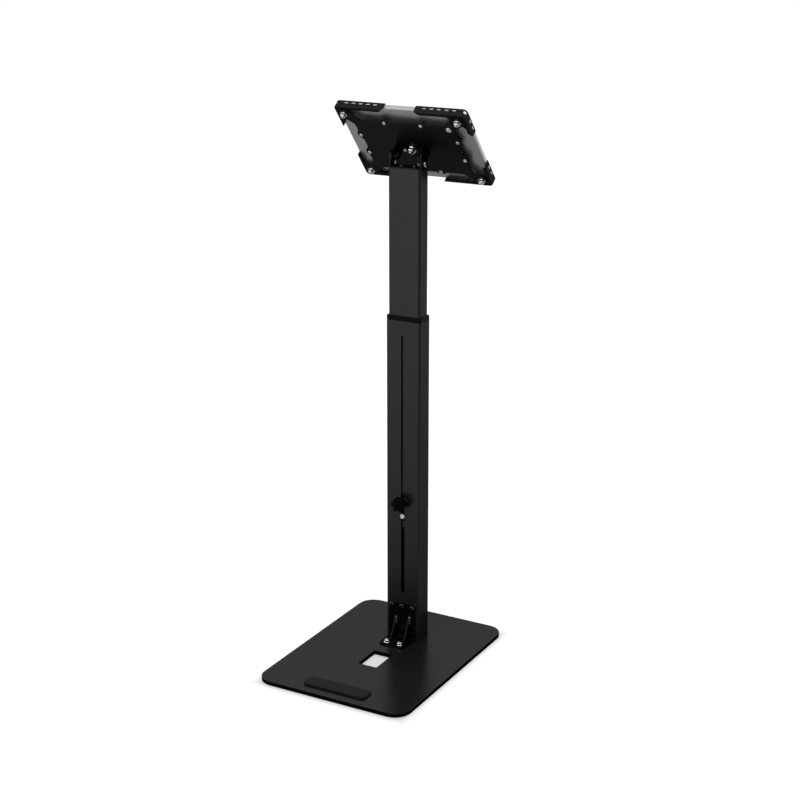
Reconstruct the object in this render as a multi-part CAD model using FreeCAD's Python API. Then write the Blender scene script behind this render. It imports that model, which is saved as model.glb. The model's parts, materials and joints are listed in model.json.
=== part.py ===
import FreeCAD, Part
import math
import os
from FreeCAD import Placement, Rotation, Vector

# A height-adjustable floor stand that holds a tablet by its four corners.
# Millimetres. X runs sideways, +Y to the slotted rear of the column, +Z up.
# The origin is the middle of the footprint, on the floor.

# Base plate with its feet, cable window and rubber tread
base_width = 300.0
base_length = 400.0
base_thickness = 8.0
base_corner_radius = 32.0
base_edge_round = 1.2
foot_height = 2.0
foot_diameter = 26.0
foot_inset = 32.0
window_width = 38.0
window_length = 60.0
window_corner_radius = 3.0
window_behind_column = 72.0
tread_length = 125.0
tread_width = 31.0
tread_height = 4.0
tread_corner_radius = 7.0
tread_edge_round = 1.0
tread_from_rear_edge = 20.0

# Two tubes that slide one in the other
column_shift = 91.0
lower_width = 70.0
lower_depth = 38.0
lower_wall = 2.0
lower_corner = 6.0
lower_length = 611.0
upper_width = 63.5
upper_depth = 31.0
upper_wall = 1.8
upper_corner = 5.0
upper_length = 660.0
upper_bottom_gap = 220.0
slot_width = 7.0
slot_from_foot = 92.0
slot_from_top = 26.0
collar_flange = 8.0
collar_sleeve = 20.0
collar_edge_round = 1.2
slide_clearance = 0.25
fit_clearance = 0.1
glide_flange = 4.0
glide_plug = 8.0
glide_wall = 2.0
top_plug_depth = 24.0

# Foot of the column
foot_plug_height = 30.0
foot_plug_bolt_spacing = 36.0
bracket_width = 53.0
bracket_height = 69.0
bracket_reach = 45.0
bracket_sheet = 3.0
bracket_bend = 5.0
bracket_corner = 6.0
gusset_spacing = 28.0
gusset_sheet = 2.5
gusset_height = 54.0
gusset_reach = 21.0
gusset_sag = 5.0
flange_screw_spacing = 26.7
flange_screw_reach = 36.5
column_screw_spacing = 21.5
column_screw_height = 65.0
nut_bar_thickness = 5.0
nut_bar_height = 14.0
nut_bar_end_gap = 4.0

# Height clamp: a star knob and a guide screw that both ride in the slot
knob_above_foot_of_upper = 51.0
guide_screw_below_knob = 28.0
knob_diameter = 27.0
knob_thickness = 12.0
knob_hub_diameter = 14.0
knob_hub_length = 7.0
knob_lobes = 6
knob_scallop_radius = 5.0
knob_scallop_depth = 2.6
knob_edge_round = 1.2
clamp_plate_width = 30.0
clamp_plate_thickness = 4.0
clamp_plate_margin = 10.0
shoe_width = 24.0
shoe_gap = 0.2

# Tilting joint on top of the column
pivot_height = 9.5
yoke_sheet = 2.5
yoke_ear = 3.0
yoke_ear_depth = 24.0
yoke_ear_height = 30.0
yoke_ear_top_round = 9.0
yoke_screw_spacing = 26.0
ear_washer = 0.75
ear_washer_diameter = 13.0
tilt_sheet = 2.5
tilt_ear_round = 6.7
tilt_lock_radius = 11.7
tilt_web_above = 24.3
tilt_web_below = 8.7
tilt_web_corner = 3.0
tilt_bend = 3.5
tilt_slot_margin = 4.0
tilt_rest = 40.4
tilt_most = 84.4
pivot_to_plate = 30.0
plate_lift = 7.3
turn_disc = 1.0
turn_gap = 0.05
turn_disc_diameter = 30.0
turn_washer = 1.5
turn_washer_diameter = 17.0
stop_pin_radius = 2.0
stop_pin_circle = 16.0
stop_pin_angle = 15.0
stop_pin_head = 3.0

# Back plate with four arms
plate_sheet = 2.0
plate_side_inset = 30.0
plate_end_inset = 28.7
lobe_rise = 4.0
lobe_half_width = 8.0
lobe_round = 5.0
waist_depth = 3.5
arm_width = 20.0
arm_screw_side_inset = 17.0
arm_screw_end_inset = 16.7
arm_angle = 40.0
arm_root_round = 9.0
long_side_screw_x = 35.5
long_side_screw_inset = 2.5
short_side_screw_inset = 2.8
short_side_screw_z = 22.4
bumper_diameter = 7.0
safety_screw_inward = 28.3

# Four corner brackets bent from sheet
holder_depth = 15.8
holder_corner = 8.0
holder_sheet = 1.5
holder_bend_inside = 1.0
long_flange = 96.5
short_flange = 52.0
web_width = 7.5
long_lip = 4.0
short_lip = 7.0
lip_corner_round = 16.0
tongue_width = 18.0
tongue_slide = 12.0
tongue_end_margin = 9.0
web_round = 7.0
slide_gap = 0.1
flange_slot_length = 8.5
flange_slot_width = 3.2
flange_slot_pitch = 14.2
flange_slot_depth = 10.0
long_slot_first = 23.0
short_slot_first = 25.4
long_slots = 5
short_slots = 2
corner_hole_radius = 3.3
corner_hole_depth = 9.3
pad_thickness = 1.0
pad_margin = 0.4

# Tablet held in the brackets
tablet_width = 250.6
tablet_height = 174.1
tablet_thickness = 7.5
tablet_corner = 10.0
tablet_back_round = 3.4
tablet_front_round = 0.6
tablet_lip_gap = 0.2
tablet_pad_gap = 0.15
tablet_side_gap = 0.2
glass_thickness = 0.7
glass_inset = 0.8

# Fasteners
m4 = {"shank": 4.0, "head": 7.0, "head_height": 2.2, "socket": 2.5}
m5 = {"shank": 5.0, "head": 9.5, "head_height": 2.6, "socket": 3.0}
m5_cap = {"shank": 5.0, "head": 8.5, "head_height": 5.0, "socket": 4.0}
m6 = {"shank": 6.0, "head": 10.5, "head_height": 3.3, "socket": 4.0}
m6_cap = {"shank": 6.0, "head": 10.0, "head_height": 6.0, "socket": 5.0}
m8_cap = {"shank": 8.0, "head": 13.0, "head_height": 7.0, "socket": 6.0}
m8_flat = {"shank": 8.0, "head": 15.0, "head_height": 4.0, "socket": 5.0}
head_round_share = 0.42
socket_share = 0.55
m6_nut = {"across": 10.0, "height": 3.8}
m8_nut = {"across": 13.0, "height": 5.0}
nut_washer = 1.0
flange_washer_diameter = 11.0
flange_washer = 1.0
arm_washer_diameter = 13.0
arm_washer = 1.4
hole_clearance = 0.3
running_clearance = 0.08
knob_washer_diameter = 16.0
knob_washer = 1.2
face_gap = 0.1

# Places worked out from the sizes above
base_bottom = foot_height
base_top = base_bottom + base_thickness
column_y = -column_shift
lower_rear = column_y + lower_depth / 2
lower_inner_rear = lower_rear - lower_wall
upper_rear = column_y + upper_depth / 2
upper_inner_rear = upper_rear - upper_wall
lower_top = base_top + lower_length
collar_top = lower_top + collar_flange
slot_low = base_top + slot_from_foot
slot_high = lower_top - slot_from_top
upper_bottom = base_top + upper_bottom_gap
upper_top = upper_bottom + upper_length
knob_z = upper_bottom + knob_above_foot_of_upper
guide_z = knob_z - guide_screw_below_knob
column_screw_z = base_top + column_screw_height
flange_screw_y = lower_rear + flange_screw_reach
pivot_z = upper_top + pivot_height
pivot = Vector(0, column_y, pivot_z)
plate_y = column_y - pivot_to_plate
holder_z = pivot_z + plate_lift
ear_outer = upper_width / 2
tilt_ear_outer = ear_outer - yoke_ear - ear_washer
tilt_ear_inner = tilt_ear_outer - tilt_sheet
tilt_web_front = plate_y + plate_sheet + turn_disc
half_width = tablet_width / 2 + tablet_side_gap + holder_sheet
half_height = tablet_height / 2 + tablet_pad_gap + pad_thickness + holder_sheet
lip_inner = holder_depth - holder_sheet
holder_bend = holder_sheet + holder_bend_inside
tablet_front = lip_inner - tablet_lip_gap
tablet_back = tablet_front - tablet_thickness
plate_half_width = half_width - plate_side_inset
plate_half_height = half_height - plate_end_inset
long_side_screw_z = plate_half_height - long_side_screw_inset
short_side_screw_x = plate_half_width - short_side_screw_inset
arm_screw_x = half_width - arm_screw_side_inset
arm_screw_z = half_height - arm_screw_end_inset
arm_out = Vector(math.cos(math.radians(arm_angle)), 0, math.sin(math.radians(arm_angle)))
arm_across = Vector(-arm_out.z, 0, arm_out.x)
arm_screw = Vector(arm_screw_x, 0, arm_screw_z)

X = Vector(1, 0, 0)
Y = Vector(0, 1, 0)
Z = Vector(0, 0, 1)


# Outlines and solids

def plane_point(plane, a, b, level):
    if plane == "xy":
        return Vector(a, b, level)
    if plane == "xz":
        return Vector(a, level, b)
    return Vector(level, a, b)


def outline(corners, plane, level):
    """Closed wire through corners (a, b, radius), each rounded by a tangent arc."""
    count = len(corners)
    stops = []
    for i, (a, b, radius) in enumerate(corners):
        here = plane_point(plane, a, b, level)
        before = plane_point(plane, *corners[i - 1][:2], level)
        after = plane_point(plane, *corners[(i + 1) % count][:2], level)
        back = (before - here).normalize()
        ahead = (after - here).normalize()
        if radius <= 0:
            stops.append((here, None, here))
            continue
        half_turn = back.getAngle(ahead) / 2
        reach = radius / math.tan(half_turn)
        middle = (back + ahead).normalize() * (radius / math.sin(half_turn) - radius)
        stops.append((here + back * reach, here + middle, here + ahead * reach))
    edges = []
    for i, (start, middle, end) in enumerate(stops):
        if middle is not None:
            edges.append(Part.Arc(start, middle, end).toShape())
        following = stops[(i + 1) % count][0]
        if end.distanceToPoint(following) > 1e-4:
            edges.append(Part.makeLine(end, following))
    return Part.Wire(edges)


def slab(corners, plane, start, end):
    """Solid between two levels of the plane's normal."""
    normal = {"xy": Z, "xz": Y, "yz": X}[plane]
    return Part.Face(outline(corners, plane, start)).extrude(normal * (end - start))


def rectangle(width, height, radius=0.0, a=0.0, b=0.0):
    w, h = width / 2, height / 2
    return [(a - w, b - h, radius), (a + w, b - h, radius), (a + w, b + h, radius), (a - w, b + h, radius)]


def cylinder(radius, start, end):
    return Part.makeCylinder(radius, start.distanceToPoint(end), start, end - start)


def ring(outer_radius, inner_radius, start, end):
    return cylinder(outer_radius, start, end).cut(cylinder(inner_radius, start, end))


def hexagon(across, height):
    radius = across / math.sqrt(3)
    corners = []
    for i in range(6):
        corners.append((radius * math.cos(i * math.pi / 3), radius * math.sin(i * math.pi / 3), 0))
    return slab(corners, "xy", 0, height)


def level_edges(shape, axis, level):
    """Edges that lie wholly at one level of an axis (0, 1 or 2)."""
    return [e for e in shape.Edges if all(abs(v.Point[axis] - level) < 1e-4 for v in e.Vertexes)]


def group(shapes):
    return Part.makeCompound(list(shapes))


def mirrored(shape, side, level, height):
    """Copy for another corner: side and level are +1 or -1, height is the middle plane's Z."""
    if side < 0:
        shape = shape.mirror(Vector(0, 0, 0), X)
    if level < 0:
        shape = shape.mirror(Vector(0, 0, height), Z)
    return shape


def tilted(shape):
    """The head is laid out upright and then leant back about the tilt pivot."""
    shape = shape.copy()
    shape.rotate(pivot, X, -tilt_rest)
    return shape


# Fasteners, drawn along Z with the seat of the head at zero

def seated(shape, seat, direction):
    shape = shape.copy()
    shape.Placement = Placement(seat, Rotation(Z, direction))
    return shape


def screw(size, length):
    head = Part.makeCylinder(size["head"] / 2, size["head_height"])
    head = head.makeFillet(size["head_height"] * head_round_share, level_edges(head, 2, size["head_height"]))
    shank = Part.makeCylinder(size["shank"] / 2, length, Vector(0, 0, -length))
    depth = size["head_height"] * socket_share
    socket = hexagon(size["socket"], depth)
    socket.translate(Z * (size["head_height"] - depth))
    return head.fuse(shank).cut(socket)


def flat_head_screw(size, length):
    head = Part.makeCone(size["shank"] / 2, size["head"] / 2, size["head_height"])
    head.translate(Z * -size["head_height"])
    shank = Part.makeCylinder(size["shank"] / 2, length, Vector(0, 0, -length))
    depth = size["head_height"] * socket_share
    socket = hexagon(size["socket"], depth)
    socket.translate(Z * -depth)
    return head.fuse(shank).cut(socket)


def nut(size, shank):
    hole = Part.makeCylinder(shank / 2, size["height"])
    return hexagon(size["across"], size["height"]).cut(hole)


# Base

def foot_places():
    x = base_width / 2 - foot_inset
    y = base_length / 2 - foot_inset
    return [(-x, -y), (x, -y), (x, y), (-x, y)]


def make_base_plate():
    plate = slab(rectangle(base_width, base_length, base_corner_radius), "xy", base_bottom, base_top)
    rims = level_edges(plate, 2, base_top) + level_edges(plate, 2, base_bottom)
    plate = plate.makeFillet(base_edge_round, rims)
    window_y = lower_rear + window_behind_column + window_length / 2
    window = rectangle(window_width, window_length, window_corner_radius, 0, window_y)
    plate = plate.cut(slab(window, "xy", base_bottom, base_top))
    for x in (-flange_screw_spacing / 2, flange_screw_spacing / 2):
        start = Vector(x, flange_screw_y, base_bottom)
        plate = plate.cut(cylinder(m5["shank"] / 2, start, start + Z * base_thickness))
    for x in (-foot_plug_bolt_spacing / 2, foot_plug_bolt_spacing / 2):
        start = Vector(x, column_y, base_bottom)
        plate = plate.cut(cylinder(m8_flat["shank"] / 2, start, start + Z * base_thickness))
        seat = Part.makeCone(m8_flat["head"] / 2, m8_flat["shank"] / 2, m8_flat["head_height"], start)
        plate = plate.cut(seat)
    return plate


def make_base_feet():
    feet = []
    for x, y in foot_places():
        foot = Part.makeCylinder(foot_diameter / 2, foot_height, Vector(x, y, 0))
        feet.append(foot.makeFillet(foot_height * 0.3, level_edges(foot, 2, 0)))
    return group(feet)


def make_base_tread():
    y = base_length / 2 - tread_from_rear_edge - tread_width / 2
    corners = rectangle(tread_length, tread_width, tread_corner_radius, 0, y)
    tread = slab(corners, "xy", base_top, base_top + tread_height)
    return tread.makeFillet(tread_edge_round, level_edges(tread, 2, base_top + tread_height))


# Foot of the column

def column_screw_places():
    return [Vector(x, lower_rear, column_screw_z) for x in (-column_screw_spacing, 0, column_screw_spacing)]


def flange_screw_places():
    seat_z = base_top + bracket_sheet
    return [Vector(x, flange_screw_y, seat_z) for x in (-flange_screw_spacing / 2, flange_screw_spacing / 2)]


def make_foot_bracket():
    far = lower_rear + bracket_reach
    high = base_top + bracket_height
    inner_y = lower_rear + bracket_sheet
    inner_z = base_top + bracket_sheet
    profile = [
        (lower_rear, base_top, bracket_bend),
        (far, base_top, 0),
        (far, inner_z, 0),
        (inner_y, inner_z, bracket_bend - bracket_sheet),
        (inner_y, high, 0),
        (lower_rear, high, 0),
    ]
    bracket = slab(profile, "yz", -bracket_width / 2, bracket_width / 2)
    upright = [e for e in bracket.Edges if abs(e.BoundBox.YLength - bracket_sheet) < 1e-3
               and e.BoundBox.XLength < 1e-3 and e.BoundBox.ZLength < 1e-3]
    lying = [e for e in bracket.Edges if abs(e.BoundBox.ZLength - bracket_sheet) < 1e-3
             and e.BoundBox.XLength < 1e-3 and e.BoundBox.YLength < 1e-3]
    bracket = bracket.makeFillet(bracket_corner, upright + lying)
    for x in (-gusset_spacing / 2, gusset_spacing / 2):
        bracket = bracket.fuse(gusset(x, inner_y, inner_z))
    for place in column_screw_places():
        bracket = bracket.cut(cylinder(m5["shank"] / 2 + hole_clearance, place, place + Y * bracket_sheet))
    for place in flange_screw_places():
        bracket = bracket.cut(cylinder(m5["shank"] / 2 + hole_clearance, place, place - Z * bracket_sheet))
    return bracket


def gusset(x, inner_y, inner_z):
    """Stiffening rib with a hollow curved edge, between the bracket's two legs."""
    top = Vector(x - gusset_sheet / 2, inner_y, inner_z + gusset_height)
    toe = Vector(x - gusset_sheet / 2, inner_y + gusset_reach, inner_z)
    heel = Vector(x - gusset_sheet / 2, inner_y, inner_z)
    chord = (toe - top).normalize()
    sag = Vector(0, chord.z, -chord.y) * gusset_sag
    curve = Part.Arc(top, (top + toe) / 2 + sag, toe).toShape()
    wire = Part.Wire([Part.makeLine(heel, top), curve, Part.makeLine(toe, heel)])
    return Part.Face(wire).extrude(X * gusset_sheet)


def make_foot_plug():
    inner_w = lower_width - 2 * lower_wall - 2 * fit_clearance
    inner_d = lower_depth - 2 * lower_wall - 2 * fit_clearance
    corners = rectangle(inner_w, inner_d, lower_corner - lower_wall, 0, column_y)
    plug = slab(corners, "xy", base_top, base_top + foot_plug_height)
    for x in (-foot_plug_bolt_spacing / 2, foot_plug_bolt_spacing / 2):
        start = Vector(x, column_y, base_top)
        plug = plug.cut(cylinder(m8_flat["shank"] / 2, start, start + Z * foot_plug_height))
    return plug


def make_base_bolts():
    length = base_thickness + foot_plug_height * 0.6
    bolt = flat_head_screw(m8_flat, length)
    half = foot_plug_bolt_spacing / 2
    places = [Vector(x, column_y, base_bottom) for x in (-half, half)]
    return group(seated(bolt, place, -Z) for place in places)


def make_nut_bar():
    width = lower_width - 2 * lower_wall - 2 * nut_bar_end_gap
    corners = rectangle(width, nut_bar_height, 1.5, 0, column_screw_z)
    bar = slab(corners, "xz", lower_inner_rear - nut_bar_thickness, lower_inner_rear)
    for place in column_screw_places():
        bar = bar.cut(cylinder(m5["shank"] / 2, place, place - Y * (lower_wall + nut_bar_thickness)))
    return bar


def make_column_screws():
    length = bracket_sheet + lower_wall + nut_bar_thickness
    return group(seated(screw(m5, length), place + Y * bracket_sheet, Y) for place in column_screw_places())


def make_flange_washers():
    washers = []
    for place in flange_screw_places():
        washers.append(ring(flange_washer_diameter / 2, m5["shank"] / 2, place, place + Z * flange_washer))
    return group(washers)


def make_flange_screws():
    length = flange_washer + bracket_sheet + base_thickness - face_gap
    cap_screw = screw(m5_cap, length)
    return group(seated(cap_screw, place + Z * flange_washer, Z) for place in flange_screw_places())


# Column

def make_lower_tube():
    tube = slab(rectangle(lower_width, lower_depth, lower_corner, 0, column_y), "xy", base_top, lower_top)
    inner = rectangle(lower_width - 2 * lower_wall, lower_depth - 2 * lower_wall,
                      lower_corner - lower_wall, 0, column_y)
    tube = tube.cut(slab(inner, "xy", base_top, lower_top))
    slot_middle = (slot_low + slot_high) / 2
    slot = rectangle(slot_width, slot_high - slot_low, slot_width / 2 - 0.001, 0, slot_middle)
    tube = tube.cut(slab(slot, "xz", lower_inner_rear, lower_rear))
    for place in column_screw_places():
        tube = tube.cut(cylinder(m5["shank"] / 2 + hole_clearance, place, place - Y * lower_wall))
    return tube


def make_collar():
    """Plastic guide ring: its flange caps the lower tube and its sleeve goes down inside."""
    flange = slab(rectangle(lower_width, lower_depth, lower_corner, 0, column_y), "xy", lower_top, collar_top)
    flange = flange.makeFillet(collar_edge_round, level_edges(flange, 2, collar_top))
    inset = 2 * lower_wall + 2 * fit_clearance
    sleeve = rectangle(lower_width - inset, lower_depth - inset, lower_corner - lower_wall, 0, column_y)
    ring_shape = flange.fuse(slab(sleeve, "xy", lower_top - collar_sleeve, lower_top))
    bore = rectangle(upper_width + 2 * slide_clearance, upper_depth + 2 * slide_clearance,
                     upper_corner + slide_clearance, 0, column_y)
    return ring_shape.cut(slab(bore, "xy", lower_top - collar_sleeve, collar_top))


def make_upper_tube():
    tube = slab(rectangle(upper_width, upper_depth, upper_corner, 0, column_y), "xy", upper_bottom, upper_top)
    inner = rectangle(upper_width - 2 * upper_wall, upper_depth - 2 * upper_wall,
                      upper_corner - upper_wall, 0, column_y)
    tube = tube.cut(slab(inner, "xy", upper_bottom, upper_top))
    for z in (knob_z, guide_z):
        start = Vector(0, upper_rear, z)
        tube = tube.cut(cylinder(m6["shank"] / 2 + hole_clearance, start, start - Y * upper_wall))
    return tube


def make_glide():
    """Plastic ring on the lower end of the upper tube."""
    inset = 2 * lower_wall + 2 * slide_clearance
    flange = rectangle(lower_width - inset, lower_depth - inset, lower_corner - lower_wall, 0, column_y)
    glide = slab(flange, "xy", upper_bottom - glide_flange, upper_bottom)
    inset = 2 * upper_wall + 2 * fit_clearance
    plug_w = upper_width - inset
    plug_d = upper_depth - inset
    plug = rectangle(plug_w, plug_d, upper_corner - upper_wall, 0, column_y)
    glide = glide.fuse(slab(plug, "xy", upper_bottom, upper_bottom + glide_plug))
    bore = rectangle(plug_w - 2 * glide_wall, plug_d - 2 * glide_wall, 1.0, 0, column_y)
    return glide.cut(slab(bore, "xy", upper_bottom - glide_flange, upper_bottom + glide_plug))


def make_top_plug():
    inset = 2 * upper_wall + 2 * fit_clearance
    corners = rectangle(upper_width - inset, upper_depth - inset, upper_corner - upper_wall, 0, column_y)
    plug = slab(corners, "xy", upper_top - top_plug_depth, upper_top)
    for place in yoke_screw_places():
        plug = plug.cut(cylinder(m5["shank"] / 2, place, place - Z * top_plug_depth * 0.7))
    return plug


# Height clamp

def make_clamp_plate():
    height = guide_screw_below_knob + 2 * clamp_plate_margin
    corners = rectangle(clamp_plate_width, height, 2.0, 0, (knob_z + guide_z) / 2)
    plate = slab(corners, "xz", upper_inner_rear - clamp_plate_thickness, upper_inner_rear)
    for z in (knob_z, guide_z):
        start = Vector(0, upper_inner_rear, z)
        radius = m6["shank"] / 2 + (running_clearance if z == knob_z else 0)
        plate = plate.cut(cylinder(radius, start, start - Y * clamp_plate_thickness))
    return plate


def make_slot_shoe():
    """Thin plastic guide that fills the gap between the two rear walls, round both screws."""
    height = guide_screw_below_knob + 2 * clamp_plate_margin
    corners = rectangle(shoe_width, height, 3.0, 0, (knob_z + guide_z) / 2)
    shoe = slab(corners, "xz", upper_rear, lower_inner_rear - shoe_gap)
    for z in (knob_z, guide_z):
        start = Vector(0, upper_rear, z)
        shoe = shoe.cut(cylinder(m6["shank"] / 2 + hole_clearance, start, start + Y * lower_depth))
    return shoe


def make_height_knob():
    start = Vector(0, lower_rear + face_gap + knob_washer, knob_z)
    shoulder = start + Y * knob_hub_length
    front = shoulder + Y * knob_thickness
    star = cylinder(knob_diameter / 2, shoulder, front)
    scallop_circle = knob_diameter / 2 + knob_scallop_radius - knob_scallop_depth
    for i in range(knob_lobes):
        angle = 2 * math.pi * (i + 0.5) / knob_lobes
        offset = Vector(scallop_circle * math.cos(angle), 0, scallop_circle * math.sin(angle))
        star = star.cut(cylinder(knob_scallop_radius, shoulder + offset, front + offset))
    star = star.makeFillet(knob_edge_round, level_edges(star, 1, front.y) + level_edges(star, 1, shoulder.y))
    knob = star.fuse(cylinder(knob_hub_diameter / 2, start, shoulder))
    return knob.cut(cylinder(m6["shank"] / 2, start, shoulder + Y * knob_thickness * 0.6))


def make_knob_stud():
    inner = Vector(0, upper_inner_rear - clamp_plate_thickness, knob_z)
    outer = Vector(0, lower_rear + face_gap + knob_washer + knob_hub_length + knob_thickness * 0.6, knob_z)
    return cylinder(m6["shank"] / 2, inner, outer)


def make_knob_washer():
    start = Vector(0, lower_rear + face_gap, knob_z)
    return ring(knob_washer_diameter / 2, m6["shank"] / 2, start, start + Y * knob_washer)


def make_guide_screw():
    seat = Vector(0, lower_rear + face_gap, guide_z)
    length = face_gap + lower_rear - upper_inner_rear + clamp_plate_thickness
    return seated(screw(m5_guide(), length), seat, Y)


def m5_guide():
    """The guide screw has the small head of an M5 and the shank of the clamp thread."""
    return {**m5, "shank": m6["shank"]}


# Tilting joint

def yoke_screw_places():
    return [Vector(x, column_y, upper_top) for x in (-yoke_screw_spacing / 2, yoke_screw_spacing / 2)]


def lock_place():
    return Vector(0, column_y, pivot_z + tilt_lock_radius)


def make_yoke():
    """U of sheet on the column's end, with an ear on each side of the tilting bracket."""
    corners = rectangle(upper_width, upper_depth, upper_corner, 0, column_y)
    yoke = slab(corners, "xy", upper_top, upper_top + yoke_sheet)
    top = upper_top + yoke_ear_height
    ear = [
        (column_y - yoke_ear_depth / 2, upper_top, 0),
        (column_y + yoke_ear_depth / 2, upper_top, 0),
        (column_y + yoke_ear_depth / 2, top, yoke_ear_top_round),
        (column_y - yoke_ear_depth / 2, top, yoke_ear_top_round),
    ]
    for side in (-1, 1):
        inner, outer = side * (ear_outer - yoke_ear), side * ear_outer
        yoke = yoke.fuse(slab(ear, "yz", min(inner, outer), max(inner, outer)))
        pivot_hole = cylinder(m6["shank"] / 2, pivot + X * inner, pivot + X * outer)
        yoke = yoke.cut(pivot_hole)
    lock = lock_place()
    yoke = yoke.cut(cylinder(m5["shank"] / 2, lock + X * (ear_outer - yoke_ear), lock + X * ear_outer))
    for place in yoke_screw_places():
        yoke = yoke.cut(cylinder(m5["shank"] / 2 + hole_clearance, place, place + Z * yoke_sheet))
    return yoke


def make_yoke_screws():
    length = yoke_sheet + top_plug_depth * 0.6
    return group(seated(screw(m5, length), place + Z * yoke_sheet, Z) for place in yoke_screw_places())


def make_tilt_bracket():
    """U of sheet: its web carries the back plate and its two ears hang on the pivot bolts."""
    low = pivot_z - tilt_web_below
    high = pivot_z + tilt_web_above
    web = slab(rectangle(2 * tilt_ear_outer, high - low, tilt_web_corner, 0, (low + high) / 2), "xz",
               tilt_web_front, tilt_web_front + tilt_sheet)
    bracket = web
    ear_high = pivot_z + tilt_lock_radius + tilt_ear_round + 0.6
    ear = [
        (tilt_web_front, pivot_z - tilt_ear_round, tilt_bend),
        (column_y + tilt_ear_round, pivot_z - tilt_ear_round, tilt_ear_round - 0.01),
        (column_y + tilt_ear_round, ear_high, tilt_ear_round - 0.01),
        (tilt_web_front, ear_high, tilt_bend),
    ]
    for side in (-1, 1):
        inner, outer = side * tilt_ear_inner, side * tilt_ear_outer
        bracket = bracket.fuse(slab(ear, "yz", min(inner, outer), max(inner, outer)))
        hole = cylinder(m6["shank"] / 2 + running_clearance, pivot + X * inner, pivot + X * outer)
        bracket = bracket.cut(hole)
    bracket = bracket.cut(lock_slot())
    centre = Vector(0, tilt_web_front, holder_z)
    bracket = bracket.cut(cylinder(m8_cap["shank"] / 2, centre, centre + Y * tilt_sheet))
    pin = stop_pin_place()
    return bracket.cut(cylinder(stop_pin_radius, pin, pin + Y * tilt_sheet))


def lock_slot():
    """Arc slot of the tilt lock screw, cut for the whole range of tilt, in upright layout."""
    half = m5["shank"] / 2 + hole_clearance
    first = math.radians(90 - tilt_slot_margin)
    last = math.radians(90 + tilt_most + tilt_slot_margin)
    x = tilt_ear_inner

    def at(radius, angle):
        return Vector(x, column_y + radius * math.cos(angle), pivot_z + radius * math.sin(angle))

    middle = (first + last) / 2
    outer = tilt_lock_radius + half
    inner = tilt_lock_radius - half
    edges = [
        Part.Arc(at(outer, first), at(outer, middle), at(outer, last)).toShape(),
        Part.makeLine(at(outer, last), at(inner, last)),
        Part.Arc(at(inner, last), at(inner, middle), at(inner, first)).toShape(),
        Part.makeLine(at(inner, first), at(outer, first)),
    ]
    slot = Part.Face(Part.Wire(edges)).extrude(X * tilt_sheet)
    for angle in (first, last):
        end = at(tilt_lock_radius, angle)
        slot = slot.fuse(cylinder(half, end, end + X * tilt_sheet))
    return slot


def make_ear_washers():
    washers = []
    for side in (-1, 1):
        start = pivot + X * side * tilt_ear_outer
        end = pivot + X * side * (ear_outer - yoke_ear)
        washers.append(ring(ear_washer_diameter / 2, m6["shank"] / 2, start, end))
    return group(washers)


def make_pivot_bolts():
    length = yoke_ear + ear_washer + tilt_sheet + m6_nut["height"] + face_gap
    return group(seated(screw(m6, length), pivot + X * side * ear_outer, X * side) for side in (-1, 1))


def make_pivot_nuts():
    nuts = []
    for side in (-1, 1):
        seat = pivot + X * side * (tilt_ear_inner - face_gap)
        nuts.append(seated(nut(m6_nut, m6["shank"]), seat, X * -side))
    return group(nuts)


def make_tilt_lock():
    """Screw and nut that clamp the arc slot of one ear."""
    seat = lock_place() + X * ear_outer
    length = yoke_ear + ear_washer + tilt_sheet + face_gap + m6_nut["height"]
    lock_screw = seated(screw(m5, length), seat, X)
    nut_seat = lock_place() + X * (tilt_ear_inner - face_gap)
    lock_nut = seated(nut({"across": 8.0, "height": m6_nut["height"]}, m5["shank"]), nut_seat, -X)
    return group([lock_screw, lock_nut])


# Turning joint between the tilting bracket and the back plate

def stop_pin_place():
    angle = math.radians(-stop_pin_angle)
    x, z = stop_pin_circle * math.cos(angle), stop_pin_circle * math.sin(angle)
    return Vector(x, tilt_web_front, holder_z + z)


def make_turn_disc():
    start = Vector(0, plate_y + plate_sheet + turn_gap, holder_z)
    disc = ring(turn_disc_diameter / 2, m8_cap["shank"] / 2, start, Vector(0, tilt_web_front, holder_z))
    return disc.cut(cylinder(stop_pin_radius, stop_pin_place() - Y * turn_disc, stop_pin_place()))


def make_turn_washer():
    start = Vector(0, tilt_web_front + tilt_sheet, holder_z)
    return ring(turn_washer_diameter / 2, m8_cap["shank"] / 2, start, start + Y * turn_washer)


def make_turn_bolt():
    seat = Vector(0, tilt_web_front + tilt_sheet + turn_washer, holder_z)
    reach = seat.y - plate_y + face_gap + nut_washer + m8_nut["height"]
    return seated(screw(m8_cap, reach), seat, Y)


def make_turn_nut():
    start = Vector(0, plate_y - face_gap, holder_z)
    washer = ring(turn_washer_diameter / 2, m8_cap["shank"] / 2, start - Y * nut_washer, start)
    locknut = seated(nut(m8_nut, m8_cap["shank"]), start - Y * nut_washer, -Y)
    return group([washer, locknut])


def make_stop_pin():
    place = stop_pin_place()
    tip = Vector(place.x, plate_y, place.z)
    shaft = cylinder(stop_pin_radius, tip, place + Y * tilt_sheet)
    head = cylinder(stop_pin_head, place + Y * tilt_sheet, place + Y * (tilt_sheet + 1.5))
    return shaft.fuse(head.makeFillet(0.7, level_edges(head, 1, place.y + tilt_sheet + 1.5)))


# Back plate

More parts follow.
